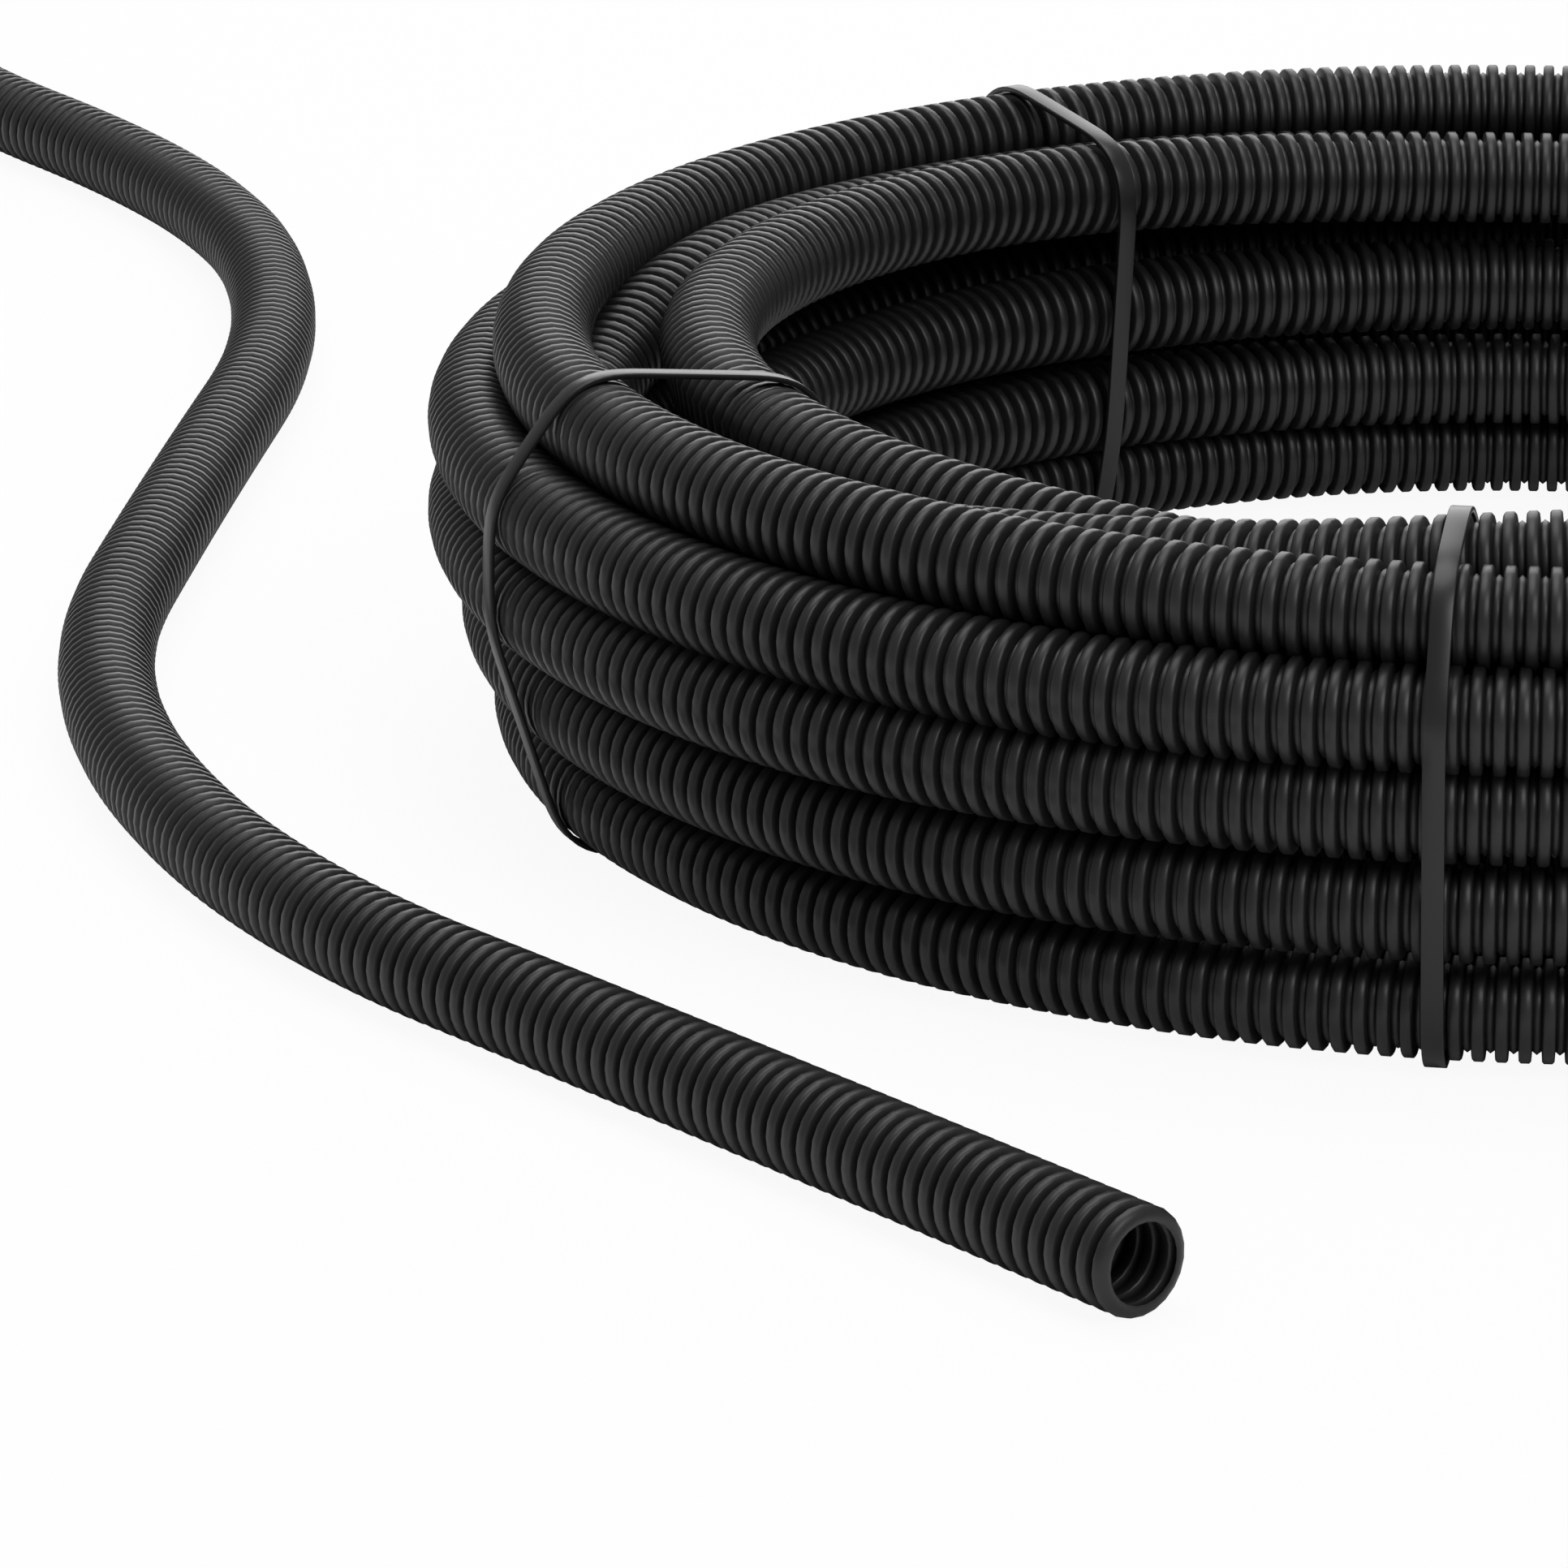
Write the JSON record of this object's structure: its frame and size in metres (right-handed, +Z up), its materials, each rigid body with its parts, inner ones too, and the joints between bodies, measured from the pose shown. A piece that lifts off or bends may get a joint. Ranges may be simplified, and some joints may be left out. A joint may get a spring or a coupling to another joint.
{
  "type": "corrugated conduit coil",
  "caption": "Tied coil of flexible corrugated plastic conduit with its free end laid out round it and open at the cut.",
  "frame": {"origin": "centre of the coil's eye, on the floor that the coil and its free end lie on", "axes": "+Z up along the coil's axis, +X to the right and +Y away from the viewer as it is pictured, so the open end lies on the -X -Y side and points to +X -Y"},
  "size_m": [0.7963, 1.4714, 0.1204],
  "materials": {
    "conduit": "satin black ribbed plastic",
    "strap": "smooth black strap"
  },
  "bodies": {
    "root": {"coil": "conduit", "free_end": "conduit", "tie_back_left": "strap", "tie_left": "strap", "tie_front": "strap", "tie_right": "strap", "tie_back_right": "strap"}
  },
  "joints": []
}
